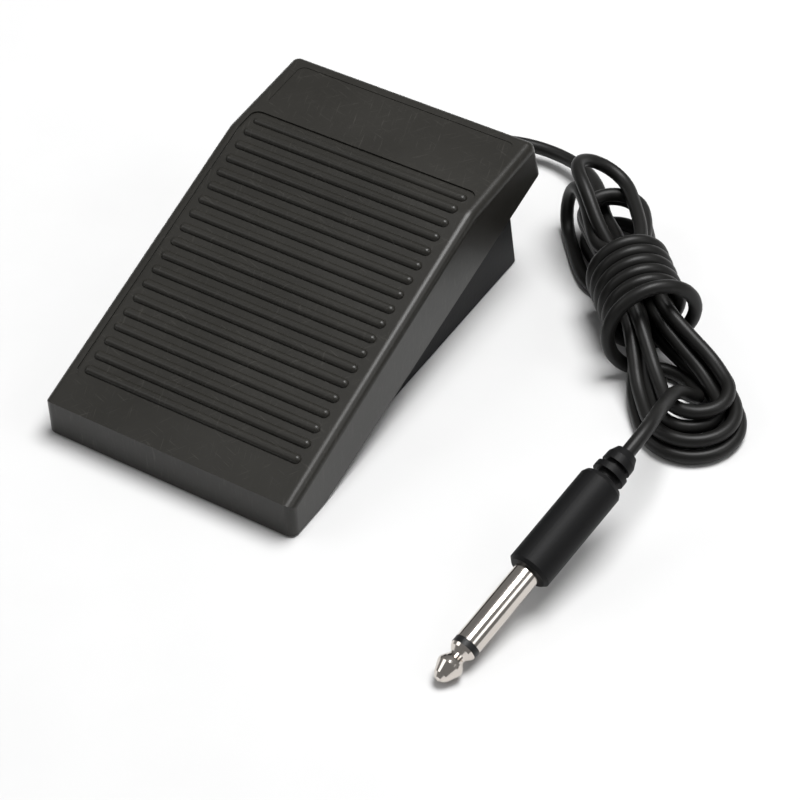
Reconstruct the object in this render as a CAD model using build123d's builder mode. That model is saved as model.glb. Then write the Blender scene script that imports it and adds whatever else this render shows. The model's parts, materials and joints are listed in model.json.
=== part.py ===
from build123d import *
import os
from math import atan2, cos, degrees, radians, sin, tan

# A sustain pedal: a moulded treadle hinged at its low front end over a tray-shaped base,
# with a microswitch, two return springs and a cable that is folded into a hank and ends
# in a 6.35 mm jack plug.
#
# Millimetres, +Z up. X runs across the pedal and +Y from the low front end to the high
# rear end. The origin is on the surface that the pedal stands on, under its middle.

# ---------------------------------------------------------------- driving dimensions
WIDTH = 70.0  # treadle, across
LENGTH = 113.0  # treadle, front wall to the foot of its rear wall
FRONT_HEIGHT = 10.5
CREASE_HEIGHT = 38.0  # where the sloping tread meets the rear flat
REAR_HEIGHT = 39.6
SKIRT_REAR_HEIGHT = 28.8  # underside of the skirt at the rear
FLOOR_GAP = 0.6  # under the front of the treadle
TREADLE_WALL = 2.2

FRONT_Y = -LENGTH / 2
REAR_Y = LENGTH / 2
CREASE_Y = FRONT_Y + 80.5
REAR_TOP_Y = REAR_Y - 2.8
SKIRT_RISE_Y = FRONT_Y + 13.5  # where the skirt starts to rise from the floor

EDGE_RADIUS = 2.2
CREASE_RADIUS = 8.0
SLOPE = degrees(atan2(CREASE_HEIGHT - FRONT_HEIGHT, CREASE_Y - FRONT_Y))
FLAT_SLOPE = degrees(atan2(REAR_HEIGHT - CREASE_HEIGHT, REAR_TOP_Y - CREASE_Y))
SLOPE_LENGTH = (CREASE_Y - FRONT_Y) / cos(radians(SLOPE))

RIB_COUNT = 19
RIB_PITCH = 4.32
FIRST_RIB = 11.6  # along the slope, from the front edge
RIB_LENGTH = 61.0
RIB_RADIUS = 1.35
RIB_PROUD = 0.95  # above the panel that the ribs stand on
PANEL_DEPTH = 0.45
PANEL_MARGIN = 1.6  # from the ribs to the panel's edge, all round

LABEL_SIZE = (62.0, 16.5)
LABEL_DEPTH = 0.15
LABEL_DISTANCE = SLOPE_LENGTH + 18.3  # its middle, from the front edge

HINGE_Y = FRONT_Y + 12.5
HINGE_Z = 6.6
PIN_RADIUS = 1.5
PIN_LENGTH = 60.0
POST_X = (-23.4, 20.4)  # left faces of the two posts that carry the pin
POST_THICKNESS = 3.0
POST_RADIUS = 3.0
BEARING_CLEARANCE = 0.05

BASE_WIDTH = 60.4
BASE_WALL = 2.0
BASE_BOTTOM = 0.5
BASE_FLOOR = 2.8  # inside surface
BASE_FRONT_Y = FRONT_Y + 3.6
BASE_REAR_Y = 52.9
REAR_LEAN = 9.0  # degrees that the base's rear wall leans forward
RIM_FRONT = 7.0
RIM_REAR = 29.0

SOLE_THICKNESS = 1.2
SOLE_SIZE = (54.0, 98.0)

SPRING_X = 14.0
SPRING_Y = 30.0
SPRING_BOTTOM = 4.2
SPRING_TOP = 29.9
SPRING_MEAN_RADIUS = 4.2
SPRING_WIRE = 1.1
SPRING_TURNS = 7.0

SWITCH_SIZE = (5.8, 12.8, 6.5)  # a subminiature snap-action switch
SWITCH_Y = -10.0
SWITCH_Z = 8.0  # underside
LEVER_LENGTH = 14.5
LEVER_REST = 12.0  # degrees above level
TERMINAL_SPACING = 5.08
STRIKER_Y = -6.0

CORD_DIAMETER = 3.45
CORD_HEIGHT = 9.5  # of the cable where it passes the rear wall
GLAND_TAIL = 16.0

JACK_RADIUS = 3.175
JACK_LENGTH = 32.0
HANDLE_RADIUS = 5.3
HANDLE_LENGTH = 28.0

os.makedirs("parts", exist_ok=True)


def save(piece, name):
    """Label a finished piece and write it as its own STEP file."""
    piece.part.label = name
    export_step(piece.part, f"parts/{name}.step")


def roof_z(y):
    """Height of the treadle's top surface over a place along the pedal."""
    if y < CREASE_Y:
        return FRONT_HEIGHT + (y - FRONT_Y) * tan(radians(SLOPE))
    return CREASE_HEIGHT + (y - CREASE_Y) * tan(radians(FLAT_SLOPE))


def ceiling_z(y):
    """Height of the treadle's underside over a place along the pedal."""
    return roof_z(y) - TREADLE_WALL / cos(radians(SLOPE))


def roof_plane(distance):
    """A plane on the top surface, a given distance up from the front edge."""
    if distance < SLOPE_LENGTH - RIB_PITCH / 2:
        y = FRONT_Y + distance * cos(radians(SLOPE))
        tilt = SLOPE
    elif distance < SLOPE_LENGTH + RIB_PITCH / 2:
        y = FRONT_Y + distance * cos(radians(SLOPE))
        tilt = (SLOPE + FLAT_SLOPE) / 2
    else:
        y = CREASE_Y + (distance - SLOPE_LENGTH) * cos(radians(FLAT_SLOPE))
        tilt = FLAT_SLOPE
    normal = (0, -sin(radians(tilt)), cos(radians(tilt)))
    return Plane(origin=(0, y, roof_z(y)), x_dir=(1, 0, 0), z_dir=normal)


def skirt_z(y):
    """Height of the skirt's lower edge."""
    if y < SKIRT_RISE_Y:
        return FLOOR_GAP
    rise = (SKIRT_REAR_HEIGHT - FLOOR_GAP) / (REAR_Y - SKIRT_RISE_Y)
    return FLOOR_GAP + (y - SKIRT_RISE_Y) * rise


# ---------------------------------------------------------------- treadle
PANEL_START = FIRST_RIB - RIB_RADIUS - PANEL_MARGIN
PANEL_END = FIRST_RIB + (RIB_COUNT - 1) * RIB_PITCH + RIB_RADIUS + PANEL_MARGIN
PANEL_WIDTH = RIB_LENGTH + 2 * PANEL_MARGIN

# the thin slab that is sunk into the top to make the ribbed panel
with BuildPart() as panel_slab:
    with BuildSketch(Plane.YZ):
        start = roof_plane(PANEL_START).origin
        end = roof_plane(PANEL_END).origin
        with BuildLine():
            Polyline(
                (start.Y, start.Z - PANEL_DEPTH),
                (CREASE_Y, CREASE_HEIGHT - PANEL_DEPTH),
                (end.Y, end.Z - PANEL_DEPTH),
                (end.Y, end.Z + 2),
                (CREASE_Y, CREASE_HEIGHT + 2),
                (start.Y, start.Z + 2),
                close=True,
            )
        make_face()
    extrude(amount=WIDTH / 2, both=True)
    with BuildSketch(Plane.XY):
        with Locations((0, (start.Y + end.Y) / 2)):
            RectangleRounded(PANEL_WIDTH, end.Y - start.Y, 2.4)
    extrude(amount=CREASE_HEIGHT + 10, mode=Mode.INTERSECT)

# the space inside the treadle, open below
with BuildPart() as treadle_space:
    with BuildSketch(Plane.YZ):
        with BuildLine():
            Polyline(
                (FRONT_Y + TREADLE_WALL, -1),
                (FRONT_Y + TREADLE_WALL, ceiling_z(FRONT_Y + TREADLE_WALL)),
                (CREASE_Y + 0.3, CREASE_HEIGHT - TREADLE_WALL),
                (REAR_TOP_Y - TREADLE_WALL, REAR_HEIGHT - TREADLE_WALL),
                (REAR_Y - TREADLE_WALL, SKIRT_REAR_HEIGHT - 1),
                (REAR_Y - TREADLE_WALL, -1),
                close=True,
            )
        make_face()
    extrude(amount=WIDTH / 2 - TREADLE_WALL, both=True)
    corners = treadle_space.edges().filter_by(Axis.Z).group_by(Axis.Y)[0]
    fillet(corners, radius=1.0)

LUG_X = 24.0
LUG_THICKNESS = 3.0
LUG_RADIUS = 3.4
SPRING_BOSS_RADIUS = 5.6
SPRING_PEG_RADIUS = 2.0
HOOK_X = 22.0
HOOK_WIDTH = 5.0
HOOK_LEG_Y = 41.7
HOOK_LEG = 2.2
HOOK_BOTTOM = 19.0
BARB_TOP = 21.3
BARB_REACH = 3.5
STRIKER_BOTTOM = 19.6

with BuildPart() as treadle:
    # outer body: the side view drawn once and pulled across the width
    with BuildSketch(Plane.YZ):
        with BuildLine():
            Polyline(
                (FRONT_Y, FLOOR_GAP),
                (FRONT_Y, FRONT_HEIGHT),
                (CREASE_Y, CREASE_HEIGHT),
                (REAR_TOP_Y, REAR_HEIGHT),
                (REAR_Y, SKIRT_REAR_HEIGHT),
                (SKIRT_RISE_Y, FLOOR_GAP),
                close=True,
            )
        side = make_face()
        by_height = side.vertices().sort_by(Axis.Z)
        top_corners = by_height[-1:] + by_height.filter_by(lambda v: v.Y < FRONT_Y + 1)[-1:]
        fillet(top_corners, radius=EDGE_RADIUS + 0.1)
    extrude(amount=WIDTH / 2, both=True)
    crease = treadle.edges().filter_by(Axis.X).sort_by_distance((0, CREASE_Y, CREASE_HEIGHT))[0]
    fillet(crease, radius=CREASE_RADIUS)
    rims = treadle.faces().filter_by(Axis.X).edges()
    upper = rims.filter_by(lambda e: e.center().Z > skirt_z(e.center().Y) + 1.0)
    fillet(upper, radius=EDGE_RADIUS)
    add(treadle_space.part, mode=Mode.SUBTRACT)
    add(panel_slab.part, mode=Mode.SUBTRACT)

    # half-round ribs with rounded ends, each sunk into the panel
    for number in range(RIB_COUNT):
        place = roof_plane(FIRST_RIB + number * RIB_PITCH)
        sunk = PANEL_DEPTH + RIB_RADIUS - RIB_PROUD
        straight = RIB_LENGTH - 2 * RIB_RADIUS
        with Locations(place.offset(-sunk)):
            Cylinder(RIB_RADIUS, straight, rotation=(0, 90, 0))
            with Locations((-straight / 2, 0, 0), (straight / 2, 0, 0)):
                Sphere(RIB_RADIUS)

    # shallow recess for a label on the rear flat
    label_plane = roof_plane(LABEL_DISTANCE)
    with BuildSketch(label_plane.offset(-LABEL_DEPTH)):
        RectangleRounded(*LABEL_SIZE, 2.0)
    extrude(amount=1, mode=Mode.SUBTRACT)

    # two lugs that turn on the hinge pin
    with BuildSketch(Plane.YZ.offset(LUG_X)):
        with Locations((HINGE_Y, HINGE_Z)):
            Circle(LUG_RADIUS)
        with BuildLine():
            Polyline(
                (HINGE_Y - LUG_RADIUS, HINGE_Z),
                (HINGE_Y - LUG_RADIUS, ceiling_z(HINGE_Y - LUG_RADIUS) + 0.8),
                (HINGE_Y + LUG_RADIUS, ceiling_z(HINGE_Y + LUG_RADIUS) + 0.8),
                (HINGE_Y + LUG_RADIUS, HINGE_Z),
                close=True,
            )
        make_face()
        with Locations((HINGE_Y, HINGE_Z)):
            Circle(PIN_RADIUS + BEARING_CLEARANCE, mode=Mode.SUBTRACT)
    extrude(amount=LUG_THICKNESS)
    mirror(about=Plane.YZ)

    # seats and pegs for the two springs
    seat_plane = Plane(origin=(0, SPRING_Y, SPRING_TOP + 0.45), x_dir=(1, 0, 0), z_dir=(0, -0.035, 1))
    with BuildSketch(seat_plane):
        with Locations((-SPRING_X, 0), (SPRING_X, 0)):
            Circle(SPRING_BOSS_RADIUS)
    extrude(amount=6.6)
    with BuildSketch(seat_plane):
        with Locations((-SPRING_X, -0.6), (SPRING_X, -0.6)):
            Circle(SPRING_PEG_RADIUS)
    extrude(amount=-3.5, taper=4)

    # post that works the switch
    with BuildSketch(Plane.XY.offset(STRIKER_BOTTOM)):
        with Locations((0, STRIKER_Y)):
            RectangleRounded(6.0, 5.0, 0.8)
    extrude(amount=ceiling_z(STRIKER_Y - 2) - STRIKER_BOTTOM + 1.2)

    # hooks that stop the treadle from lifting off
    for side_x in (-HOOK_X, HOOK_X):
        with BuildSketch(Plane.YZ.offset(side_x - HOOK_WIDTH / 2)):
            with BuildLine():
                Polyline(
                    (HOOK_LEG_Y, REAR_HEIGHT - TREADLE_WALL),
                    (HOOK_LEG_Y, BARB_TOP),
                    (HOOK_LEG_Y - BARB_REACH, BARB_TOP),
                    (HOOK_LEG_Y - BARB_REACH, BARB_TOP - 0.8),
                    (HOOK_LEG_Y, HOOK_BOTTOM),
                    (HOOK_LEG_Y + HOOK_LEG, HOOK_BOTTOM),
                    (HOOK_LEG_Y + HOOK_LEG, REAR_HEIGHT - TREADLE_WALL),
                    close=True,
                )
            make_face()
        extrude(amount=HOOK_WIDTH)
save(treadle, "treadle")

# resilient tip on the post, which quietens the switch
with BuildPart() as striker_pad:
    with BuildSketch(Plane.XY.offset(STRIKER_BOTTOM)):
        with Locations((0, STRIKER_Y)):
            RectangleRounded(5.6, 4.4, 0.7)
    extrude(amount=-1.4)
    fillet(striker_pad.faces().sort_by(Axis.Z)[0].edges(), radius=0.5)
save(striker_pad, "striker_pad")

# ---------------------------------------------------------------- base
SWITCH_FACE_X = SWITCH_SIZE[0] / 2
BRACKET_THICKNESS = 2.4
SWITCH_HOLE_SPACING = 6.5
SWITCH_HOLE_Z = SWITCH_Z + 1.7
SWITCH_HOLES = [(SWITCH_Y + side * SWITCH_HOLE_SPACING / 2, SWITCH_HOLE_Z) for side in (-1, 1)]
CLAMP_Y = 14.0
CLAMP_LENGTH = 6.0
CLAMP_WIDTH = 19.0
CLAMP_SCREW_X = 6.4
SADDLE_TOP = CORD_HEIGHT - 0.3
CLAMP_TOP = CORD_HEIGHT + 3.4
BUMPER_X = 21.0
BUMPER_Y = 10.0
BUMPER_POST_TOP = 22.0
LEDGE_Z = (22.0, 24.5)
LEDGE_Y = (36.2, 41.0)
LEDGE_X = 18.5
GLAND_BOSS_RADIUS = 7.0
GLAND_HOLE_RADIUS = 4.0
INSIDE_HALF = BASE_WIDTH / 2 - BASE_WALL

# the space inside the base, open above
with BuildPart() as base_space:
    with BuildSketch(Plane.YZ):
        wall = BASE_WALL / cos(radians(REAR_LEAN))
        with BuildLine():
            Polyline(
                (BASE_FRONT_Y + BASE_WALL, BASE_FLOOR),
                (BASE_REAR_Y - wall - BASE_FLOOR * tan(radians(REAR_LEAN)), BASE_FLOOR),
                (BASE_REAR_Y - wall - (RIM_REAR + 5) * tan(radians(REAR_LEAN)), RIM_REAR + 5),
                (BASE_FRONT_Y + BASE_WALL, RIM_REAR + 5),
                close=True,
            )
        make_face()
    extrude(amount=INSIDE_HALF, both=True)

with BuildPart() as base_tray:
    with BuildSketch(Plane.YZ):
        with BuildLine():
            Polyline(
                (BASE_FRONT_Y, BASE_BOTTOM),
                (BASE_REAR_Y - BASE_BOTTOM * tan(radians(REAR_LEAN)), BASE_BOTTOM),
                (BASE_REAR_Y - RIM_REAR * tan(radians(REAR_LEAN)), RIM_REAR),
                (CREASE_Y + 2, RIM_REAR - 0.7),
                (BASE_FRONT_Y, RIM_FRONT),
                close=True,
            )
        make_face()
    extrude(amount=BASE_WIDTH / 2, both=True)
    uprights = base_tray.faces().filter_by(Axis.X).edges().filter_by(
        lambda e: abs(e.center().Z - (BASE_BOTTOM + RIM_FRONT) / 2) < 1 or e.center().Y > BASE_REAR_Y - 4
    )
    fillet(uprights.filter_by(lambda e: e.length > 5).filter_by(lambda e: e.length < 40), radius=1.2)
    add(base_space.part, mode=Mode.SUBTRACT)

    # flat boss round the cable's hole, outside and inside the leaning wall
    with BuildSketch(Plane.XZ.offset(-BASE_REAR_Y)):
        with Locations((0, CORD_HEIGHT)):
            Circle(GLAND_BOSS_RADIUS)
    extrude(amount=4.6)
    with BuildSketch(Plane.XZ.offset(-BASE_REAR_Y)):
        with Locations((0, CORD_HEIGHT)):
            Circle(GLAND_HOLE_RADIUS)
    extrude(amount=10, mode=Mode.SUBTRACT)

    # recess under the base for the sole
    with BuildSketch(Plane.XY.offset(SOLE_THICKNESS)):
        with Locations((0, (BASE_FRONT_Y + BASE_REAR_Y) / 2)):
            RectangleRounded(SOLE_SIZE[0] + 0.2, SOLE_SIZE[1] + 0.2, 3.1)
    extrude(amount=-SOLE_THICKNESS, mode=Mode.SUBTRACT)

    # bearings for the hinge pin: through the side walls and in two inner posts
    for post_x in POST_X:
        with BuildSketch(Plane.YZ.offset(post_x)):
            with Locations((HINGE_Y, (HINGE_Z + BASE_FLOOR) / 2)):
                Rectangle(2 * POST_RADIUS, HINGE_Z - BASE_FLOOR)
            with Locations((HINGE_Y, HINGE_Z)):
                Circle(POST_RADIUS)
        extrude(amount=POST_THICKNESS)
    with BuildSketch(Plane.YZ.offset(-WIDTH / 2)):
        with Locations((HINGE_Y, HINGE_Z)):
            Circle(PIN_RADIUS + 0.02)
    extrude(amount=WIDTH, mode=Mode.SUBTRACT)

    # pads and spigots for the springs
    with BuildSketch(Plane.XY.offset(BASE_FLOOR)):
        with Locations((-SPRING_X, SPRING_Y), (SPRING_X, SPRING_Y)):
            Circle(6.6)
    extrude(amount=SPRING_BOTTOM - BASE_FLOOR)
    with BuildSketch(Plane.XY.offset(SPRING_BOTTOM)):
        with Locations((-SPRING_X, SPRING_Y), (SPRING_X, SPRING_Y)):
            Circle(3.2)
    extrude(amount=5.0, taper=2)

    # upright plate that carries the switch
    with BuildSketch(Plane.YZ.offset(-SWITCH_FACE_X - BRACKET_THICKNESS)):
        with Locations((SWITCH_Y, (BASE_FLOOR + SWITCH_Z + 6.0) / 2)):
            Rectangle(SWITCH_SIZE[1] + 1.6, SWITCH_Z + 6.0 - BASE_FLOOR)
    extrude(amount=BRACKET_THICKNESS)
    with BuildSketch(Plane.YZ.offset(-SWITCH_FACE_X - BRACKET_THICKNESS)):
        with Locations(*SWITCH_HOLES):
            Circle(0.95)
    extrude(amount=BRACKET_THICKNESS, mode=Mode.SUBTRACT)
    for brace_y in (SWITCH_Y - 6.2, SWITCH_Y + 6.2):
        with BuildSketch(Plane.XZ.offset(-brace_y - 0.8)):
            with BuildLine():
                Polyline(
                    (-SWITCH_FACE_X - BRACKET_THICKNESS, BASE_FLOOR),
                    (-SWITCH_FACE_X - BRACKET_THICKNESS, SWITCH_Z + 4),
                    (-SWITCH_FACE_X - BRACKET_THICKNESS - 5, BASE_FLOOR),
                    close=True,
                )
            make_face()
        extrude(amount=1.6)

    # saddle under the cable, with a screw boss each side
    with BuildSketch(Plane.XY.offset(BASE_FLOOR)):
        with Locations((0, CLAMP_Y)):
            RectangleRounded(CLAMP_WIDTH, CLAMP_LENGTH, 1.5)
    extrude(amount=SADDLE_TOP - BASE_FLOOR)
    with BuildSketch(Plane.XZ.offset(-CLAMP_Y - CLAMP_LENGTH)):
        with Locations((0, CORD_HEIGHT)):
            Circle(CORD_DIAMETER / 2 + 0.02)
    extrude(amount=2 * CLAMP_LENGTH, mode=Mode.SUBTRACT)
    with BuildSketch(Plane.XY.offset(SADDLE_TOP)):
        with Locations((-CLAMP_SCREW_X, CLAMP_Y), (CLAMP_SCREW_X, CLAMP_Y)):
            Circle(1.05)
    extrude(amount=-5.2, mode=Mode.SUBTRACT)

    # posts for the down-stop bumpers
    with BuildSketch(Plane.XY.offset(BASE_FLOOR)):
        with Locations((-BUMPER_X, BUMPER_Y), (BUMPER_X, BUMPER_Y)):
            Circle(4.2)
    extrude(amount=BUMPER_POST_TOP - BASE_FLOOR)
    with BuildSketch(Plane.XY.offset(BUMPER_POST_TOP)):
        with Locations((-BUMPER_X, BUMPER_Y), (BUMPER_X, BUMPER_Y)):
            Circle(1.75)
    extrude(amount=-6, mode=Mode.SUBTRACT)

    # ledges that the treadle's hooks catch under
    for side in (-1, 1):
        ledge_middle = side * (LEDGE_X + INSIDE_HALF + 0.4) / 2
        with BuildSketch(Plane.XY.offset(LEDGE_Z[0])):
            with Locations((ledge_middle, sum(LEDGE_Y) / 2)):
                Rectangle(INSIDE_HALF + 0.4 - LEDGE_X, LEDGE_Y[1] - LEDGE_Y[0])
        extrude(amount=LEDGE_Z[1] - LEDGE_Z[0])
save(base_tray, "base_tray")

# rubber mat glued into the recess, grooved so that it grips
GROOVE_COUNT = 12
with BuildPart() as non_slip_sole:
    with BuildSketch(Plane.XY):
        with Locations((0, (BASE_FRONT_Y + BASE_REAR_Y) / 2)):
            RectangleRounded(*SOLE_SIZE, 3.0)
    extrude(amount=SOLE_THICKNESS)
    with BuildSketch(Plane.XY):
        with Locations((0, (BASE_FRONT_Y + BASE_REAR_Y) / 2)):
            with GridLocations(0, SOLE_SIZE[1] / (GROOVE_COUNT + 1), 1, GROOVE_COUNT):
                SlotOverall(SOLE_SIZE[0] - 8, 1.6)
    extrude(amount=0.45, mode=Mode.SUBTRACT)
save(non_slip_sole, "non_slip_sole")

# ---------------------------------------------------------------- hinge and springs
with BuildPart() as hinge_pin:
    with BuildSketch(Plane.YZ.offset(-PIN_LENGTH / 2)):
        with Locations((HINGE_Y, HINGE_Z)):
            Circle(PIN_RADIUS)
    extrude(amount=PIN_LENGTH)
    chamfer(hinge_pin.faces().filter_by(Axis.X).edges(), length=0.4)
save(hinge_pin, "hinge_pin")

for name, spring_x in (("spring_left", -SPRING_X), ("spring_right", SPRING_X)):
    free_height = SPRING_TOP - SPRING_BOTTOM - SPRING_WIRE
    pitch = free_height / SPRING_TURNS
    with BuildPart() as spring:
        with BuildLine():
            coil = Helix(
                pitch=pitch,
                height=free_height,
                radius=SPRING_MEAN_RADIUS,
                center=(spring_x, SPRING_Y, SPRING_BOTTOM + SPRING_WIRE / 2),
            )
        with BuildSketch(Plane(origin=coil @ 0, z_dir=coil % 0)):
            Circle(SPRING_WIRE / 2)
        sweep(is_frenet=True)
    save(spring, name)

# soft stops, one solid on each post
with BuildPart() as stop_bumpers:
    with BuildSketch(Plane.XY.offset(BUMPER_POST_TOP)):
        with Locations((-BUMPER_X, BUMPER_Y), (BUMPER_X, BUMPER_Y)):
            Circle(3.8)
    extrude(amount=3.4)
    fillet(stop_bumpers.faces().group_by(Axis.Z)[-1].edges(), radius=1.2)
    with BuildSketch(Plane.XY.offset(BUMPER_POST_TOP)):
        with Locations((-BUMPER_X, BUMPER_Y), (BUMPER_X, BUMPER_Y)):
            Circle(1.7)
    extrude(amount=-5)
save(stop_bumpers, "stop_bumpers")

# felt pads under the ledges, where the hooks come to rest
with BuildPart() as rest_pads:
    with BuildSketch(Plane.XY.offset(LEDGE_Z[0])):
        with Locations((-HOOK_X, LEDGE_Y[0] + 3.6), (HOOK_X, LEDGE_Y[0] + 3.6)):
            Rectangle(HOOK_WIDTH, 2.4)
    extrude(amount=-0.5)
save(rest_pads, "rest_pads")

# ---------------------------------------------------------------- switch
LEVER_PIVOT = (SWITCH_Y - SWITCH_SIZE[1] / 2 + 1.2, SWITCH_Z + SWITCH_SIZE[2] + 0.6)
BUTTON_Y = LEVER_PIVOT[0] + 4.4
BUTTON_TOP = LEVER_PIVOT[1] + 4.4 * tan(radians(LEVER_REST)) - 0.42

with BuildPart() as switch_case:
    with BuildSketch(Plane.XY.offset(SWITCH_Z)):
        with Locations((0, SWITCH_Y)):
            Rectangle(SWITCH_SIZE[0], SWITCH_SIZE[1])
    extrude(amount=SWITCH_SIZE[2])
    fillet(switch_case.edges().filter_by(Axis.X), radius=0.4)
    with BuildSketch(Plane.YZ.offset(-SWITCH_FACE_X)):
        with Locations(*SWITCH_HOLES):
            Circle(1.0)
    extrude(amount=SWITCH_SIZE[0], mode=Mode.SUBTRACT)
    # well that the button slides in
    with BuildSketch(Plane.XY.offset(SWITCH_Z + SWITCH_SIZE[2])):
        with Locations((0, BUTTON_Y)):
            Rectangle(2.86, 1.56)
    extrude(amount=-2.4, mode=Mode.SUBTRACT)
    # slot for the lever's heel
    with BuildSketch(Plane.XY.offset(SWITCH_Z + SWITCH_SIZE[2])):
        with Locations((0, LEVER_PIVOT[0])):
            Rectangle(4.2, 1.9)
    extrude(amount=-0.7, mode=Mode.SUBTRACT)
    # ears that hold the lever's pivot
    with BuildSketch(Plane.YZ.offset(-SWITCH_FACE_X)):
        with Locations((LEVER_PIVOT[0], LEVER_PIVOT[1] - 0.3)):
            Rectangle(1.9, 1.8)
    extrude(amount=0.7)
    with BuildSketch(Plane.YZ.offset(SWITCH_FACE_X - 0.7)):
        with Locations((LEVER_PIVOT[0], LEVER_PIVOT[1] - 0.3)):
            Rectangle(1.9, 1.8)
    extrude(amount=0.7)
    with BuildSketch(Plane.YZ.offset(-SWITCH_FACE_X)):
        with Locations(LEVER_PIVOT):
            Circle(0.38)
    extrude(amount=SWITCH_SIZE[0], mode=Mode.SUBTRACT)
save(switch_case, "switch_case")

with BuildPart() as switch_button:
    with BuildSketch(Plane.XY.offset(SWITCH_Z + SWITCH_SIZE[2] - 1.0)):
        with Locations((0, BUTTON_Y)):
            Rectangle(2.7, 1.4)
    extrude(amount=BUTTON_TOP - SWITCH_Z - SWITCH_SIZE[2] + 1.0)
    fillet(switch_button.faces().sort_by(Axis.Z)[-1].edges(), radius=0.3)
save(switch_button, "switch_button")

# sheet-metal lever with a rolled heel that turns in the case's ears
with BuildPart() as switch_lever:
    arm = Plane(
        origin=(0, *LEVER_PIVOT),
        x_dir=(1, 0, 0),
        z_dir=(0, -sin(radians(LEVER_REST)), cos(radians(LEVER_REST))),
    )
    with BuildSketch(Plane.YZ.offset(-SWITCH_FACE_X)):
        with Locations(LEVER_PIVOT):
            Circle(0.33)
    extrude(amount=SWITCH_SIZE[0])
    with BuildSketch(arm.offset(-0.2)):
        with Locations((0, LEVER_LENGTH / 2)):
            RectangleRounded(3.4, LEVER_LENGTH, 0.6)
    extrude(amount=0.4)
save(switch_lever, "switch_lever")

TERMINALS = {
    "terminal_common": SWITCH_Y - TERMINAL_SPACING,
    "terminal_open": SWITCH_Y,
    "terminal_closed": SWITCH_Y + TERMINAL_SPACING,
}
TERMINAL_BOTTOM = SWITCH_Z - 3.4
for name, terminal_y in TERMINALS.items():
    with BuildPart() as terminal:
        with BuildSketch(Plane.YZ.offset(-0.25)):
            with Locations((terminal_y, (TERMINAL_BOTTOM + SWITCH_Z) / 2)):
                RectangleRounded(2.0, SWITCH_Z - TERMINAL_BOTTOM, 0.3)
            with Locations((terminal_y, TERMINAL_BOTTOM + 1.1)):
                Circle(0.5, mode=Mode.SUBTRACT)
        extrude(amount=0.5)
    save(terminal, name)

with BuildPart() as switch_screws:
    with BuildSketch(Plane.YZ.offset(-SWITCH_FACE_X - BRACKET_THICKNESS)):
        with Locations(*SWITCH_HOLES):
            Circle(0.93)
    extrude(amount=BRACKET_THICKNESS + SWITCH_SIZE[0])
    with BuildSketch(Plane.YZ.offset(SWITCH_FACE_X)):
        with Locations(*SWITCH_HOLES):
            Circle(1.8)
    extrude(amount=1.3)
    fillet(switch_screws.faces().group_by(Axis.X)[-1].edges(), radius=0.5)
    with BuildSketch(Plane.YZ.offset(SWITCH_FACE_X + 1.3)):
        with Locations(*SWITCH_HOLES):
            Rectangle(2.2, 0.4)
            Rectangle(0.4, 2.2)
    extrude(amount=-0.7, mode=Mode.SUBTRACT)
save(switch_screws, "switch_screws")

# ---------------------------------------------------------------- cable inside the base
JACKET_END_Y = CLAMP_Y - CLAMP_LENGTH / 2 - 2.5
GLAND_INSIDE_Y = BASE_REAR_Y - 4.6 - 1.6

with BuildPart() as inner_cable:
    with BuildSketch(Plane.XZ.offset(-GLAND_INSIDE_Y)):
        with Locations((0, CORD_HEIGHT)):
            Circle(CORD_DIAMETER / 2)
    extrude(amount=GLAND_INSIDE_Y - JACKET_END_Y)
save(inner_cable, "inner_cable")

with BuildPart() as cable_clamp:
    with BuildSketch(Plane.XY.offset(CORD_HEIGHT + 0.3)):
        with Locations((0, CLAMP_Y)):
            RectangleRounded(CLAMP_WIDTH, CLAMP_LENGTH, 1.5)
    extrude(amount=CLAMP_TOP - CORD_HEIGHT - 0.3)
    fillet(cable_clamp.faces().sort_by(Axis.Z)[-1].edges(), radius=0.6)
    with BuildSketch(Plane.XZ.offset(-CLAMP_Y - CLAMP_LENGTH)):
        with Locations((0, CORD_HEIGHT)):
            Circle(CORD_DIAMETER / 2 + 0.02)
    extrude(amount=2 * CLAMP_LENGTH, mode=Mode.SUBTRACT)
    with BuildSketch(Plane.XY.offset(CLAMP_TOP)):
        with Locations((-CLAMP_SCREW_X, CLAMP_Y), (CLAMP_SCREW_X, CLAMP_Y)):
            Circle(1.3)
    extrude(amount=-5, mode=Mode.SUBTRACT)
save(cable_clamp, "cable_clamp")

with BuildPart() as clamp_screws:
    with BuildSketch(Plane.XY.offset(CLAMP_TOP)):
        with Locations((-CLAMP_SCREW_X, CLAMP_Y), (CLAMP_SCREW_X, CLAMP_Y)):
            Circle(2.2)
    extrude(amount=1.6)
    fillet(clamp_screws.faces().group_by(Axis.Z)[-1].edges(), radius=0.6)
    with BuildSketch(Plane.XY.offset(CLAMP_TOP + 1.6)):
        with Locations((-CLAMP_SCREW_X, CLAMP_Y), (CLAMP_SCREW_X, CLAMP_Y)):
            Rectangle(2.6, 0.5)
            Rectangle(0.5, 2.6)
    extrude(amount=-0.8, mode=Mode.SUBTRACT)
    with BuildSketch(Plane.XY.offset(CLAMP_TOP)):
        with Locations((-CLAMP_SCREW_X, CLAMP_Y), (CLAMP_SCREW_X, CLAMP_Y)):
            Circle(1.0)
    extrude(amount=-7.5)
save(clamp_screws, "clamp_screws")

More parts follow.
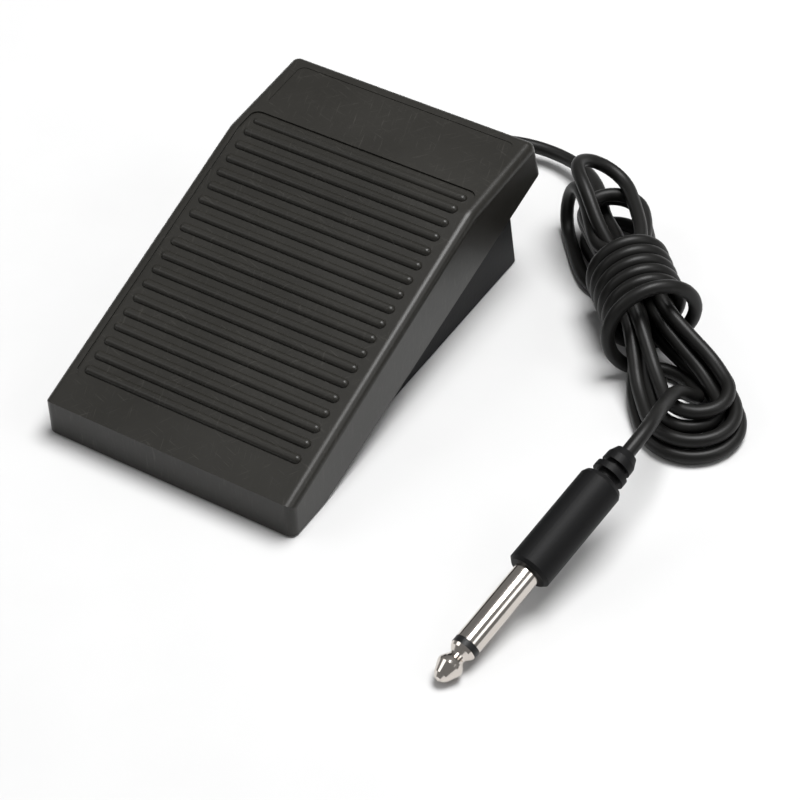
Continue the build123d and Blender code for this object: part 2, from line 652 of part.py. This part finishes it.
# two insulated conductors, from the end of the jacket to the terminals
LEAD_DIAMETER = 1.1
LEADS = {
    "lead_signal": [
        (0.6, JACKET_END_Y, CORD_HEIGHT),
        (0.6, JACKET_END_Y - 4, CORD_HEIGHT),
        (3.6, JACKET_END_Y - 8, 6.4),
        (3.4, TERMINALS["terminal_open"] + 3, 5.2),
        (0.25 + LEAD_DIAMETER / 2, TERMINALS["terminal_open"] - 0.3, 5.7),
    ],
    "lead_ground": [
        (-0.6, JACKET_END_Y, CORD_HEIGHT),
        (-0.6, JACKET_END_Y - 4, CORD_HEIGHT),
        (1.6, JACKET_END_Y - 9, 4.4),
        (5.2, TERMINALS["terminal_open"] + 1, 4.2),
        (4.0, TERMINALS["terminal_common"] + 2.5, 4.6),
        (0.25 + LEAD_DIAMETER / 2, TERMINALS["terminal_common"], 5.7),
    ],
}


def corner_radii(points):
    """For each inner point, 0.45 of the shorter run beside it over the tangent of half the turn."""
    radii = []
    for before, here, after in zip(points, points[1:], points[2:]):
        run_in = Vector(here) - Vector(before)
        run_out = Vector(after) - Vector(here)
        half_turn = radians(run_in.get_angle(run_out)) / 2
        radii.append(0.45 * min(run_in.length, run_out.length) / tan(half_turn))
    return radii


def tube(points, diameter):
    """A round tube along straight runs joined by tangent arcs."""
    with BuildPart() as made:
        with BuildLine():
            path = FilletPolyline(*points, radius=corner_radii(points))
        with BuildSketch(Plane(origin=path @ 0, z_dir=path % 0)):
            Circle(diameter / 2)
        sweep()
    return made, path.length


for name, points in LEADS.items():
    save(tube(points, LEAD_DIAMETER)[0], name)

# moulded strain relief: a flange each side of the wall, then a ribbed, tapered tail
TAIL_ROOT_RADIUS = 4.1
TAIL_TIP_RADIUS = 2.6
with BuildPart() as cable_gland:
    with BuildSketch(Plane.YZ):
        with BuildLine():
            Polyline(
                (GLAND_INSIDE_Y, CORD_HEIGHT),
                (GLAND_INSIDE_Y, CORD_HEIGHT + 5.4),
                (BASE_REAR_Y - 4.6, CORD_HEIGHT + 5.4),
                (BASE_REAR_Y - 4.6, CORD_HEIGHT + GLAND_HOLE_RADIUS - 0.05),
                (BASE_REAR_Y, CORD_HEIGHT + GLAND_HOLE_RADIUS - 0.05),
                (BASE_REAR_Y, CORD_HEIGHT + 5.6),
                (BASE_REAR_Y + 1.6, CORD_HEIGHT + 5.6),
                (BASE_REAR_Y + 2.2, CORD_HEIGHT + TAIL_ROOT_RADIUS),
                (BASE_REAR_Y + GLAND_TAIL, CORD_HEIGHT + TAIL_TIP_RADIUS),
                (BASE_REAR_Y + GLAND_TAIL, CORD_HEIGHT),
                close=True,
            )
        make_face()
    revolve(axis=Axis((0, 0, CORD_HEIGHT), (0, 1, 0)))
    # alternate slots above and beside the cable let the tail bend
    for number in range(5):
        slot_y = BASE_REAR_Y + 4.2 + number * 2.4
        upright = number % 2 == 0
        with BuildSketch(Plane.XZ.offset(-slot_y - 0.55)):
            with Locations((0, CORD_HEIGHT)):
                Rectangle(12 if upright else 2.2, 2.2 if upright else 12)
                Circle(CORD_DIAMETER / 2 + 0.5, mode=Mode.SUBTRACT)
        extrude(amount=1.1, mode=Mode.SUBTRACT)
save(cable_gland, "cable_gland")

# ---------------------------------------------------------------- jack plug
# The plug lies with its tip on the floor and its cable end held up by the cable.
PLUG_TIP = Vector(85.6, -76.7, 0)
PLUG_YAW = 81.3  # degrees from +X to the plug's cable end
PLUG_PITCH = 15.0  # degrees that the cable end is raised
RELIEF_LENGTH = 8.6
PLUG_LENGTH = JACK_LENGTH + HANDLE_LENGTH + RELIEF_LENGTH
along = Vector(
    cos(radians(PLUG_YAW)) * cos(radians(PLUG_PITCH)),
    sin(radians(PLUG_YAW)) * cos(radians(PLUG_PITCH)),
    sin(radians(PLUG_PITCH)),
)
# the bulb of the tip touches the floor
TIP_BULB = 4.2
bulb_height = 3.1 * cos(radians(PLUG_PITCH)) - TIP_BULB * sin(radians(PLUG_PITCH)) + 0.12
plug_origin = PLUG_TIP + Vector(0, 0, bulb_height)
plug_plane = Plane(origin=plug_origin, x_dir=along, z_dir=along.cross(Vector(0, 0, 1)))
PLUG_AXIS = Axis(plug_origin, along)


def turned(outline):
    """Revolve a half outline of (distance from the tip, radius) points about the plug's axis."""
    with BuildPart() as made:
        with BuildSketch(plug_plane):
            with BuildLine():
                Polyline(*outline, close=True)
            make_face()
        revolve(axis=PLUG_AXIS)
    return made


RING_START = 9.1
RING_END = 10.7
PIN_CORE = 1.1
TUBE_CORE = 2.1
NECK_RADIUS = 2.9  # of the sleeve, inside the handle

# tip, its waist and the rod that runs back through the sleeve
plug_tip = turned([
    (0, 0), (0.35, 1.15), (1.3, 1.95), (4.0, 3.1), (4.6, 3.12), (5.3, 2.85), (6.7, 1.95),
    (7.2, 1.95), (8.3, 2.85), (RING_START, 3.1), (RING_START, PIN_CORE), (38.0, PIN_CORE), (38.0, 0),
])
save(plug_tip, "plug_tip")

# insulating ring, flush with the sleeve, with the tube that lines the sleeve
plug_insulator = turned([
    (RING_START, PIN_CORE), (RING_START, JACK_RADIUS), (RING_END, JACK_RADIUS), (RING_END, TUBE_CORE),
    (37.0, TUBE_CORE), (37.0, PIN_CORE),
])
save(plug_insulator, "plug_insulator")

# plated sleeve with the collar that the handle grips
plug_sleeve = turned([
    (RING_END, TUBE_CORE), (RING_END, JACK_RADIUS), (JACK_LENGTH, JACK_RADIUS),
    (JACK_LENGTH, NECK_RADIUS), (JACK_LENGTH + 2, NECK_RADIUS), (JACK_LENGTH + 2, 4.2),
    (JACK_LENGTH + 4, 4.2), (JACK_LENGTH + 4, TUBE_CORE),
])
save(plug_sleeve, "plug_sleeve")

# soft handle moulded round the plug's tail, with the strain relief in one piece with it
HANDLE_END = JACK_LENGTH + HANDLE_LENGTH
plug_handle = turned([
    (JACK_LENGTH, NECK_RADIUS), (JACK_LENGTH, 4.5), (JACK_LENGTH + 0.8, HANDLE_RADIUS),
    (HANDLE_END - 1.4, HANDLE_RADIUS), (HANDLE_END - 0.4, HANDLE_RADIUS - 0.5),
    (HANDLE_END, HANDLE_RADIUS - 1.4), (HANDLE_END, 2.7), (HANDLE_END + 1.6, 2.7),
    (HANDLE_END + 1.6, 4.1), (HANDLE_END + 3.2, 4.1), (HANDLE_END + 3.2, 2.6),
    (HANDLE_END + 4.6, 2.6), (HANDLE_END + 4.6, 3.7), (HANDLE_END + 6.6, 3.6),
    (PLUG_LENGTH, 2.7), (PLUG_LENGTH, 0), (38.0, 0), (38.0, PIN_CORE), (37.0, PIN_CORE),
    (37.0, TUBE_CORE), (JACK_LENGTH + 4, TUBE_CORE), (JACK_LENGTH + 4, 4.2),
    (JACK_LENGTH + 2, 4.2), (JACK_LENGTH + 2, NECK_RADIUS),
])
save(plug_handle, "plug_handle")
cable_entry = plug_origin + along * PLUG_LENGTH

# ---------------------------------------------------------------- cable outside the base
# The hank lies beside the pedal: long loops with the cable wound six times round them.
HANK_MIDDLE = Vector(68.5, 45.5, 11.0)
HANK_YAW = -46.0  # degrees from +X, from the upper loops to the lower loops
hank_plane = Plane(
    origin=(HANK_MIDDLE.X, HANK_MIDDLE.Y, 0),
    x_dir=(-sin(radians(HANK_YAW)), cos(radians(HANK_YAW)), 0),
    z_dir=(cos(radians(HANK_YAW)), sin(radians(HANK_YAW)), 0),
)

# outer shape of the hank: (distance along it, half width, underside, top) at each station
HANK_STATIONS = [
    (-47.0, 5.0, 8.0, 16.0),
    (-40.0, 10.5, 3.0, 20.0),
    (-26.0, 12.0, 1.0, 21.0),
    (-13.0, 11.0, 0.05, 22.0),
    (13.0, 11.0, 0.05, 22.0),
    (26.0, 14.0, 0.05, 19.0),
    (40.0, 15.0, 0.05, 15.0),
    (50.0, 9.0, 0.05, 8.0),
]
with BuildPart() as cord_hank:
    for distance, half_width, underside, top in HANK_STATIONS:
        with BuildSketch(hank_plane.offset(distance)):
            with Locations((0, (underside + top) / 2)):
                Ellipse(half_width, (top - underside) / 2)
    loft(ruled=True)
save(cord_hank, "cord_hank")

# from the strain relief round to the hank's upper end
CORD_LEAD = [
    (0, BASE_REAR_Y + GLAND_TAIL, CORD_HEIGHT),
    (0, BASE_REAR_Y + GLAND_TAIL + 7.5, CORD_HEIGHT),
    (4.0, 85.0, CORD_HEIGHT - 3.6),
    (12.5, 90.0, 4.4),
    (22.5, 90.6, 4.0),
    (32.0, 86.4, 5.6),
    (39.5, 79.0, 8.0),
]
# from the hank's lower end up to the plug
CORD_TAIL = [
    (92.6, 19.0, 13.4),
    (93.6, 11.5, 15.8),
    (95.4, 3.9, 19.9),
    tuple(cable_entry + along * 7.2),
    tuple(cable_entry),
]
for name, points in (("cord_lead", CORD_LEAD), ("cord_tail", CORD_TAIL)):
    cord, cord_length = tube(points, CORD_DIAMETER)
    save(cord, name)
    section_area = 3.1416 * (CORD_DIAMETER / 2) ** 2
    print(name, "radii", [round(radius, 1) for radius in corner_radii(points)])
    print(name, "length", round(cord_length, 1))
    print(name, "volume / section", round(cord.part.volume / section_area, 1))
print("cable enters the plug at", cable_entry)
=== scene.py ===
"""Looks of the sustain pedal: camera, cable, springs, materials, floor and lights."""

import json
from math import cos, pi, radians, sin, sqrt

import bpy
from mathutils import Matrix, Vector


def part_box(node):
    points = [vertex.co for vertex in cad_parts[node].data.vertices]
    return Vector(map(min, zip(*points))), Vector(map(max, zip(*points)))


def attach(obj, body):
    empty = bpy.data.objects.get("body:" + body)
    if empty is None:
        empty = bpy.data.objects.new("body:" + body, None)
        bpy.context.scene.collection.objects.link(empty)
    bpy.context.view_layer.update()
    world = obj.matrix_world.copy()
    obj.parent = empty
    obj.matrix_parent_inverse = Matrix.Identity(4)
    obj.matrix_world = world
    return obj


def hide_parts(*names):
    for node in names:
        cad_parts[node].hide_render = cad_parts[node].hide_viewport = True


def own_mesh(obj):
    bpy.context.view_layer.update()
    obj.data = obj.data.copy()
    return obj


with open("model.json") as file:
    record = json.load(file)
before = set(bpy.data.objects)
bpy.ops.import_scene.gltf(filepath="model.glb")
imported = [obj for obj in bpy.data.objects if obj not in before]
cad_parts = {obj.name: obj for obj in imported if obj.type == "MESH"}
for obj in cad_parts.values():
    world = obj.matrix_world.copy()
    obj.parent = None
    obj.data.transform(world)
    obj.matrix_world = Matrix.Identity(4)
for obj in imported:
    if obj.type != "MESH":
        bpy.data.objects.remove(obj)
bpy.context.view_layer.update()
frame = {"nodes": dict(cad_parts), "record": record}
MM = 0.001


def add_object(name, data):
    """A new object in the scene, made from a camera, light, curve or mesh."""
    made = bpy.data.objects.new(name, data)
    bpy.context.collection.objects.link(made)
    return made


# ---------------------------------------------------------------- camera
# The camera stands where the photograph was taken from.
CAMERA_PLACE = (0.29458, -0.40807, 0.46571)
AZIMUTH = radians(33.134)
ELEVATION = radians(44.056)
ROLL = radians(-1.844)
SENSOR_WIDTH = 36
LENS = 125.906
NEAR_LIMIT = 0.01

back = Vector((sin(AZIMUTH) * cos(ELEVATION), -cos(AZIMUTH) * cos(ELEVATION), sin(ELEVATION)))
level_right = Vector((cos(AZIMUTH), sin(AZIMUTH), 0))
level_up = back.cross(level_right)
right = cos(ROLL) * level_right + sin(ROLL) * level_up
up = -sin(ROLL) * level_right + cos(ROLL) * level_up

camera_data = bpy.data.cameras.new("camera")
camera_data.sensor_width = SENSOR_WIDTH
camera_data.lens = LENS
camera_data.clip_start = NEAR_LIMIT
camera = add_object("camera", camera_data)
camera.matrix_world = Matrix.Translation(CAMERA_PLACE) @ Matrix((right, up, back)).transposed().to_4x4()
bpy.context.scene.camera = camera


# ---------------------------------------------------------------- cable
# The cable's sizes and places are in millimetres. Inside the hank, a place is given by how far
# it is down the hank from the hank's middle, how far to the right as seen from the lower end,
# and how high above the floor.
CORD_DIAMETER = 3.45
HANK_MIDDLE = (68.5, 45.5)
HANK_YAW = radians(-46.0)
ON_FLOOR = 1.95  # height of a strand that lies on the floor

# A spline cuts inside its control points, so those of a round end stand out by this much.
STAND_OUT = 1.045
END_STEP = 32  # degrees between the control points of a round end

IN_WRAP = (-12, 0, 10)  # down the hank, where a strand runs straight through the wrap
BELOW_WRAP = ((18, 0.45), (24, 0.85), (30, 1.0))  # down the hank, and how far it has spread
ABOVE_WRAP = -19  # down the hank, where the strands start to spread to the upper ends
NEAR_END = 0.6  # of the way from there to the round end, where they have nearly spread
SIDE_SHARES = (0.7, 0.95)  # of the way to the round end's side, at those two places
HEIGHT_SHARES_OUT = (0.5, 0.95)  # of the way to its height, going out
HEIGHT_SHARES_BACK = (0.8, 0.95)  # and coming back

WRAP_HEIGHT = 11.0
WRAP_RADIUS = 9.35
WRAP_TURNS = 6
WRAP_POINTS = 14  # in a turn
WRAP_START = -11.6
WRAP_START_ANGLE = radians(270)  # underneath
WRAP_PITCH = 3.62
WRAP_LOWEST = 1.9  # the wrap is flattened where it lies on the floor
LAST_TURN_SWELL = 3.4
LAST_TURN_SLANT = 6.0

TURN_BACK_MIDDLE = (-34.5, -6.5, 9.2)
TURN_BACK_REACH = (7.5, 1.4, 7.3)
LEAD_IN_RADIUS = 8.4  # of the bend from the turn-back to the wrap
LEAD_IN_START = -19.6

# each loop in turn: where it runs through the wrap (side, height), and its lower end
# (radius, height, where it ends down the hank, side of its middle)
LOWER_ENDS = [
    (1.75, 6.5, 8.2, ON_FLOOR, 42.5, 2.7),
    (3.5, 9.5, 11.5, ON_FLOOR, 47.5, 2.9),
    (5.2, 12.5, 10.4, 5.2, 45.5, 3.1),
    (1.8, 12.5, 7.3, 5.4, 41.0, 2.7),
    (3.5, 15.5, 7.7, 8.8, 40.0, 4.9),
]
# the upper end after each loop but the last: radius, height, rise of its left side, where it
# ends down the hank, side of its middle
UPPER_ENDS = [
    (7.3, ON_FLOOR, 0.0, -38.0, 2.9),
    (7.3, 9.0, 0.0, -39.5, 2.4),
    (7.3, 12.4, 0.0, -37.0, 2.0),
    (7.7, 19.4, 4.0, -42.0, 0.4),
]


def on_hank(along, side, height):
    """A place inside the hank, as a place in the scene."""
    return (
        HANK_MIDDLE[0] + along * cos(HANK_YAW) - side * sin(HANK_YAW),
        HANK_MIDDLE[1] + along * sin(HANK_YAW) + side * cos(HANK_YAW),
        height,
    )


def between(first, second, share):
    """A value that lies a given share of the way from the first to the second."""
    return first * (1 - share) + second * share


def lower_end(slot, slot_height, radius, height, end, middle):
    """Down the right side of one loop, round its lower end and back up the left side."""
    down = [on_hank(along, slot, slot_height) for along in IN_WRAP]
    back_up = [on_hank(along, -slot, slot_height) for along in IN_WRAP]
    for along, share in BELOW_WRAP:
        spread_height = between(slot_height, height, share)
        down.append(on_hank(along, between(slot, middle + radius, share), spread_height))
        back_up.append(on_hank(along, between(-slot, middle - radius, share), spread_height))
    for degrees in range(80, -81, -END_STEP):
        down.append(on_hank(
            end - radius + STAND_OUT * radius * cos(radians(degrees)),
            middle + STAND_OUT * radius * sin(radians(degrees)),
            height,
        ))
    return down + back_up[::-1]


def upper_end(before, after, radius, height, rise, end, middle):
    """From the left side of one loop round its upper end, which leans, to the right side of the next."""
    reach = sqrt(radius ** 2 - rise ** 2)
    stops = (ABOVE_WRAP, between(ABOVE_WRAP, end + radius, NEAR_END))
    points = []
    for along, share, height_share in zip(stops, SIDE_SHARES, HEIGHT_SHARES_OUT):
        strand_height = between(before[1], height + rise, height_share)
        points.append(on_hank(along, between(-before[0], middle - reach, share), strand_height))
    for degrees in range(100, 261, END_STEP):
        points.append(on_hank(
            end + radius + STAND_OUT * radius * cos(radians(degrees)),
            middle - STAND_OUT * reach * sin(radians(degrees)),
            height + STAND_OUT * rise * sin(radians(degrees)),
        ))
    for along, share, height_share in zip(stops[::-1], SIDE_SHARES[::-1], HEIGHT_SHARES_BACK[::-1]):
        strand_height = between(after[1], height - rise, height_share)
        points.append(on_hank(along, between(after[0], middle + reach, share), strand_height))
    return points


def tube(name, places, radius, roundness):
    """A round tube along one smooth open spline."""
    curve = bpy.data.curves.new(name, "CURVE")
    curve.dimensions = "3D"
    curve.bevel_depth = 1  # of which each point takes its own radius
    curve.bevel_resolution = roundness
    curve.resolution_u = 12  # steps to each control point
    curve.use_fill_caps = True
    spline = curve.splines.new("NURBS")
    spline.points.add(len(places) - 1)
    for point, place in zip(spline.points, places):
        point.co = (*place, 1)
        point.radius = radius
    spline.order_u = 3
    spline.use_endpoint_u = True
    return add_object(name, curve)


# out of the gland, down behind the base and in among the upper loops
route = [
    (0, 68.9, 9.5),
    (0, 76.4, 9.5),
    (4.0, 85.0, 5.9),
    (12.5, 90.0, 4.4),
    (22.5, 90.6, 4.0),
    (32.0, 86.4, 5.6),
    (39.5, 79.0, 8.0),
    on_hank(-38, 1.6, 5.4),
    on_hank(-29, 2.8, 5.6),
    on_hank(-20, 2.4, 6.2),
]
for number, lower in enumerate(LOWER_ENDS):
    route += lower_end(*lower)
    if number < len(UPPER_ENDS):
        route += upper_end(lower, LOWER_ENDS[number + 1], *UPPER_ENDS[number])
# the last strand turns back beside the upper loops, down to the floor
route += [on_hank(-16.5, -6.2, 14.8), on_hank(-23, -6.0, 16.0), on_hank(-29.5, -5.3, 16.4)]
for degrees in range(10, 171, END_STEP):
    route.append(on_hank(
        TURN_BACK_MIDDLE[0] - TURN_BACK_REACH[0] * sin(radians(degrees)),
        TURN_BACK_MIDDLE[1] + TURN_BACK_REACH[1] * cos(radians(degrees)),
        TURN_BACK_MIDDLE[2] + TURN_BACK_REACH[2] * cos(radians(degrees)),
    ))
# then it bends in under the loops, where the wrap starts
route += [on_hank(-30, -8.2, 2.0), on_hank(-24, -8.6, ON_FLOOR)]
for degrees in range(15, 80, END_STEP):
    route.append(on_hank(
        LEAD_IN_START + LEAD_IN_RADIUS * sin(radians(degrees)),
        -LEAD_IN_RADIUS * cos(radians(degrees)),
        ON_FLOOR,
    ))
# the wrap, whose last turn is looser and slants
for number in range(1, WRAP_TURNS * WRAP_POINTS + 1):
    angle = WRAP_START_ANGLE + 2 * pi * number / WRAP_POINTS
    last_turn = max(0.0, number / WRAP_POINTS - WRAP_TURNS + 1)
    radius = WRAP_RADIUS + LAST_TURN_SWELL * sin(pi * last_turn)
    route.append(on_hank(
        WRAP_START + WRAP_PITCH * number / WRAP_POINTS + LAST_TURN_SLANT * last_turn,
        radius * cos(angle),
        max(WRAP_HEIGHT + radius * sin(angle), WRAP_LOWEST),
    ))
# under the loops, up through their middle and over to the plug
route += [
    on_hank(18.4, 3.6, ON_FLOOR),
    on_hank(22.6, 6.4, ON_FLOOR),
    on_hank(28.2, 7.0, 2.4),
    on_hank(33.0, 5.0, 6.6),
    (92.6, 19.0, 13.4),
    (93.6, 11.5, 15.8),
    (95.4, 3.9, 19.9),
    (96.675, -4.325, 21.646),
    (95.623, -11.200, 19.782),
]

cable = tube("cable", [(x * MM, y * MM, z * MM) for x, y, z in route], CORD_DIAMETER / 2 * MM, roundness=6)
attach(cable, "base")
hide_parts("cord_lead", "cord_hank", "cord_tail")


# ---------------------------------------------------------------- springs
SPRING_TURNS = 7.0
SPRING_WIRE = 1.1 * MM
SPRING_POINTS = 16  # in a turn


def spring(name, node):
    """A helical compression spring that fills the box of its CAD node."""
    low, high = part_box(node)
    centre_x = (low[0] + high[0]) / 2
    centre_y = (low[1] + high[1]) / 2
    radius = (high[0] - low[0]) / 2 - SPRING_WIRE / 2
    bottom = low[2] + SPRING_WIRE / 2
    rise = high[2] - SPRING_WIRE / 2 - bottom
    steps = int(SPRING_TURNS * SPRING_POINTS)
    helix = []
    for number in range(steps + 1):
        angle = 2 * pi * number / SPRING_POINTS
        height = bottom + rise * number / steps
        helix.append((centre_x + radius * cos(angle), centre_y + radius * sin(angle), height))
    wire = tube(name, helix, SPRING_WIRE / 2, roundness=4)
    bpy.context.view_layer.update()
    mesh = bpy.data.meshes.new_from_object(wire.evaluated_get(bpy.context.evaluated_depsgraph_get()))
    bpy.data.objects.remove(wire)
    mesh.polygons.foreach_set("use_smooth", [True] * len(mesh.polygons))
    piece = add_object(name, mesh)
    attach(piece, "base")
    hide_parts(node)
    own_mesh(piece)
    return piece


springs = [spring("left_coil_spring", "spring_left"), spring("right_coil_spring", "spring_right")]


# ---------------------------------------------------------------- materials
BLOTCH_SCALE = 38
BLOTCH_EDGES = (0.3, 0.7)  # of the noise, where the dark and the light tint are reached
SHINE_SPREAD = 0.07  # of the roughness, to either side
GRAIN_DEPTH = 0.0001
SCRATCH_WIDTH = 0.00028
SCRATCH_LENGTH = 0.006
SCRATCH_DIRECTIONS = (0.3, 1.3, 2.4)
SCRATCH_EDGES = (0.66, 0.80)  # of the noise, where a scratch starts and where it is full
SCRATCH_COLOR = (0.11, 0.105, 0.095, 1)


def noise(tree, vector, scale, detail):
    """The strength of a noise texture that follows the given coordinates."""
    texture = tree.nodes.new("ShaderNodeTexNoise")
    texture.inputs["Scale"].default_value = scale
    texture.inputs["Detail"].default_value = detail
    tree.links.new(vector, texture.inputs["Vector"])
    return texture.outputs["Fac"]


def scratched(tree, vector, color, strength):
    """The given colour with sparse pale scratches over it in a few directions."""
    for direction in SCRATCH_DIRECTIONS:
        stretched = tree.nodes.new("ShaderNodeMapping")
        stretched.vector_type = "TEXTURE"
        stretched.inputs["Rotation"].default_value = (0, 0, direction)
        stretched.inputs["Scale"].default_value = (SCRATCH_WIDTH, SCRATCH_LENGTH, SCRATCH_LENGTH)
        tree.links.new(vector, stretched.inputs["Vector"])
        lines = tree.nodes.new("ShaderNodeMapRange")
        lines.inputs["From Min"].default_value = SCRATCH_EDGES[0]
        lines.inputs["From Max"].default_value = SCRATCH_EDGES[1]
        lines.inputs["To Max"].default_value = strength
        tree.links.new(noise(tree, stretched.outputs["Vector"], scale=1, detail=1), lines.inputs["Value"])
        mix = tree.nodes.new("ShaderNodeMixRGB")
        mix.inputs["Color2"].default_value = SCRATCH_COLOR
        tree.links.new(lines.outputs["Result"], mix.inputs["Fac"])
        tree.links.new(color, mix.inputs["Color1"])
        color = mix.outputs["Color"]
    return color


def material(
    name, color, roughness, metallic=0, specular=0.5, grain=0, grain_size=400, mottle=0, scratches=0,
):
    """A moulded or metal surface: fine grain, mottled colour and shine, and optional scratches."""
    made = bpy.data.materials.new(name)
    made.use_nodes = True
    tree = made.node_tree
    shader = tree.nodes["Principled BSDF"]
    shader.inputs["Metallic"].default_value = metallic
    shader.inputs["Specular IOR Level"].default_value = specular
    place = tree.nodes.new("ShaderNodeTexCoord").outputs["Object"]
    blotches = noise(tree, place, BLOTCH_SCALE, detail=6)

    tint = tree.nodes.new("ShaderNodeValToRGB")
    for element, edge, change in zip(tint.color_ramp.elements, BLOTCH_EDGES, (-mottle, mottle)):
        element.position = edge
        element.color = (*[min(1, channel * (1 + change)) for channel in color], 1)
    tree.links.new(blotches, tint.inputs["Fac"])
    shade = tint.outputs["Color"]
    if scratches:
        shade = scratched(tree, place, shade, scratches)
    tree.links.new(shade, shader.inputs["Base Color"])

    shine = tree.nodes.new("ShaderNodeMapRange")
    shine.inputs["To Min"].default_value = roughness - SHINE_SPREAD
    shine.inputs["To Max"].default_value = min(1, roughness + SHINE_SPREAD)
    tree.links.new(blotches, shine.inputs["Value"])
    tree.links.new(shine.outputs["Result"], shader.inputs["Roughness"])

    bump = tree.nodes.new("ShaderNodeBump")
    bump.inputs["Strength"].default_value = grain
    bump.inputs["Distance"].default_value = GRAIN_DEPTH
    tree.links.new(noise(tree, place, grain_size, detail=3), bump.inputs["Height"])
    tree.links.new(bump.outputs["Normal"], shader.inputs["Normal"])
    return made


# what each material slot of the record looks like
FINISHES = {
    "treadle_plastic": dict(
        color=(0.0160, 0.0150, 0.0126), roughness=0.36, specular=0.32,
        grain=0.16, grain_size=900, mottle=0.10, scratches=0.17,
    ),
    "base_plastic": dict(
        color=(0.0065, 0.0065, 0.0072), roughness=0.50, specular=0.12,
        grain=0.30, grain_size=1100, mottle=0.10,
    ),
    "sole_rubber": dict(
        color=(0.016, 0.016, 0.016), roughness=0.78,
        grain=0.45, grain_size=700, mottle=0.18,
    ),
    "soft_rubber": dict(
        color=(0.020, 0.020, 0.020), roughness=0.72,
        grain=0.35, grain_size=900, mottle=0.15,
    ),
    "steel": dict(
        color=(0.56, 0.56, 0.57), roughness=0.30, metallic=1,
        grain=0.10, grain_size=1400, mottle=0.06,
    ),
    "spring_steel": dict(
        color=(0.42, 0.42, 0.43), roughness=0.34, metallic=1,
        grain=0.12, grain_size=1500, mottle=0.10,
    ),
    "felt": dict(
        color=(0.16, 0.16, 0.16), roughness=0.95,
        grain=0.9, grain_size=2600, mottle=0.25,
    ),
    "switch_plastic": dict(
        color=(0.016, 0.016, 0.018), roughness=0.46,
        grain=0.20, grain_size=1500, mottle=0.08,
    ),
    "button_plastic": dict(
        color=(0.42, 0.035, 0.028), roughness=0.34,
        grain=0.10, grain_size=1500, mottle=0.08,
    ),
    "terminal_metal": dict(
        color=(0.70, 0.62, 0.42), roughness=0.28, metallic=1,
        grain=0.10, grain_size=1500, mottle=0.08,
    ),
    "cable_jacket": dict(
        color=(0.0085, 0.0083, 0.0078), roughness=0.42, specular=0.22,
        grain=0.14, grain_size=1300, mottle=0.10,
    ),
    "lead_red": dict(
        color=(0.42, 0.03, 0.025), roughness=0.40,
        grain=0.10, grain_size=1500, mottle=0.08,
    ),
    "lead_black": dict(
        color=(0.018, 0.018, 0.018), roughness=0.42,
        grain=0.10, grain_size=1500, mottle=0.08,
    ),
    "gland_pvc": dict(
        color=(0.0070, 0.0070, 0.0070), roughness=0.46, specular=0.22,
        grain=0.20, grain_size=1200, mottle=0.10,
    ),
    "handle_pvc": dict(
        color=(0.0050, 0.0050, 0.0053), roughness=0.54, specular=0.15,
        grain=0.28, grain_size=1400, mottle=0.14,
    ),
    "plug_ring": dict(
        color=(0.0080, 0.0080, 0.0080), roughness=0.40, specular=0.30,
        grain=0.12, grain_size=1500, mottle=0.08,
    ),
    "nickel": dict(
        color=(0.63, 0.585, 0.54), roughness=0.14, metallic=1,
        grain=0.03, grain_size=900, mottle=0.05,
    ),
}
surfaces = {name: material(name, **finish) for name, finish in FINISHES.items()}
slot_of = {part["node"]: part["material_slot"] for part in frame["record"]["subparts"]}
for name, node in frame["nodes"].items():
    node.data.materials.clear()
    node.data.materials.append(surfaces[slot_of[name]])
cable.data.materials.append(surfaces["cable_jacket"])
for piece in springs:
    piece.data.materials.append(surfaces["spring_steel"])


# ---------------------------------------------------------------- floor and lights
FLOOR_HALF = 4.0
WORLD_STRENGTH = 0.22
WHITE = (1, 1, 1, 1)

floor_mesh = bpy.data.meshes.new("floor")
floor_corners = [
    (-FLOOR_HALF, -FLOOR_HALF, 0),
    (FLOOR_HALF, -FLOOR_HALF, 0),
    (FLOOR_HALF, FLOOR_HALF, 0),
    (-FLOOR_HALF, FLOOR_HALF, 0),
]
floor_mesh.from_pydata(floor_corners, [], [(0, 1, 2, 3)])
floor = add_object("floor", floor_mesh)
floor.data.materials.append(material("floor", (0.66, 0.66, 0.66), 0.9, specular=0.1, mottle=0.01))


def area_light(name, place, size, power):
    """A round soft light that points at the origin."""
    light_data = bpy.data.lights.new(name, "AREA")
    light_data.shape = "DISK"
    light_data.size = size
    light_data.energy = power
    light = add_object(name, light_data)
    light.location = place
    light.rotation_euler = Vector(place).to_track_quat("Z", "Y").to_euler()


area_light("overhead_light", (0.20, 0.30, 1.3), size=0.8, power=24)
area_light("right_light", (1.1, 0.2, 0.8), size=0.6, power=2)
area_light("left_light", (-0.9, -0.5, 0.9), size=0.8, power=3)

world = bpy.data.worlds.new("studio")
world.use_nodes = True
background = world.node_tree.nodes["Background"]
background.inputs["Color"].default_value = WHITE
background.inputs["Strength"].default_value = WORLD_STRENGTH
bpy.context.scene.world = world
# the plain view, which leaves dark tones as dark as they are
bpy.context.scene.view_settings.view_transform = "Standard"
